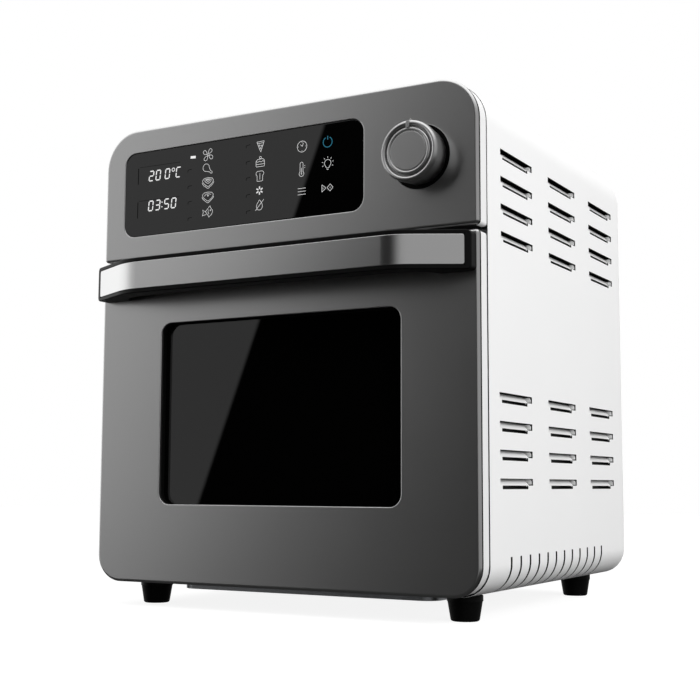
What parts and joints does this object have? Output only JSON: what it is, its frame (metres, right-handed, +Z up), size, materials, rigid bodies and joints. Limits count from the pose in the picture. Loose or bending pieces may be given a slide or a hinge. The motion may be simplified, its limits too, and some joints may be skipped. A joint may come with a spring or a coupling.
{
  "type": "air fryer oven",
  "caption": "Upright countertop air fryer oven with a steel control panel above a drop-down glass door, a bowed bar handle, a louvred sheet casing and short feet.",
  "frame": {"origin": "on the table, under the middle of the oven's outer box", "axes": "+X to the right seen from the front, +Y to the back, +Z up"},
  "size_m": [0.32, 0.3522, 0.3675],
  "materials": {
    "white_sheet": "smooth white enamel paint",
    "skin_steel": "dark satin steel",
    "white_plastic": "smooth moulded white",
    "black_plastic": "semi-gloss moulded black",
    "black_glass": "polished black glass",
    "clear_glass": "clear tempered glass",
    "silicone": "matt black silicone",
    "foot_rubber": "moulded black rubber",
    "handle_steel": "satin steel strip",
    "bright_steel": "bright steel",
    "plated_sheet": "plated sheet steel",
    "enamel": "dark baked enamel",
    "heater_sheath": "heat-dulled steel sheath",
    "circuit_board": "green laminate with dark parts",
    "motor_iron": "laminated iron"
  },
  "bodies": {
    "body": {"casing_shell": "white_sheet", "base_plate": "plated_sheet", "back_panel": "white_sheet", "face_frame": "plated_sheet", "control_panel_frame": "white_plastic", "control_panel_skin": "skin_steel", "display_glass": "black_glass", "display_board": "circuit_board", "knob_encoder": "black_plastic", "door_seal": "silicone", "cord_gland": "black_plastic", "foot_front_left": "foot_rubber", "foot_front_right": "foot_rubber", "foot_rear_left": "foot_rubber", "foot_rear_right": "foot_rubber", "foot_screw_front_left": "bright_steel", "foot_screw_front_right": "bright_steel", "foot_screw_rear_left": "bright_steel", "foot_screw_rear_right": "bright_steel", "back_screw_low_left": "bright_steel", "back_screw_low_right": "bright_steel", "back_screw_high_left": "bright_steel", "back_screw_high_right": "bright_steel", "wall_spacer_left": "black_plastic", "wall_spacer_right": "black_plastic", "hinge_bracket_left": "plated_sheet", "hinge_bracket_right": "plated_sheet", "rack_guide_left": "bright_steel", "rack_guide_right": "bright_steel", "cavity_liner": "plated_sheet", "upper_heater": "heater_sheath", "lower_heater": "heater_sheath", "fan_guard": "plated_sheet", "wire_rack": "bright_steel", "baking_tray": "enamel", "crumb_tray": "plated_sheet", "lamp_cover": "clear_glass", "oven_lamp": "bright_steel", "temperature_probe": "bright_steel", "heat_shield": "plated_sheet", "thermal_cutout": "black_plastic", "main_board": "circuit_board", "motor_bracket": "plated_sheet", "motor_stator": "motor_iron"},
    "door": {"door_skin": "skin_steel", "door_frame": "white_plastic", "window_gasket": "silicone", "window_glass": "black_glass", "inner_glass": "clear_glass", "door_inner_panel": "plated_sheet", "handle_body": "black_plastic", "handle_inlay": "handle_steel", "handle_screw_left": "bright_steel", "handle_screw_right": "bright_steel", "hinge_pin_left": "bright_steel", "hinge_pin_right": "bright_steel"},
    "knob": {"control_knob": "skin_steel"},
    "fan_rotor": {"motor_shaft": "bright_steel", "convection_fan": "bright_steel", "cooling_fan": "bright_steel"}
  },
  "joints": [
    {"name": "door_hinge", "type": "hinge", "parent": "body", "child": "door", "pos_m": [0, -0.13515, 0.024], "axis": [1, 0, 0], "range_deg": [0, 84]},
    {"name": "knob_turn", "type": "hinge", "parent": "body", "child": "knob", "pos_m": [0.1168, -0.14415, 0.315], "axis": [0, 1, 0], "continuous": true},
    {"name": "fan_spin", "type": "hinge", "parent": "body", "child": "fan_rotor", "pos_m": [0, 0.00385, 0.25], "axis": [0, 0, 1], "continuous": true}
  ]
}
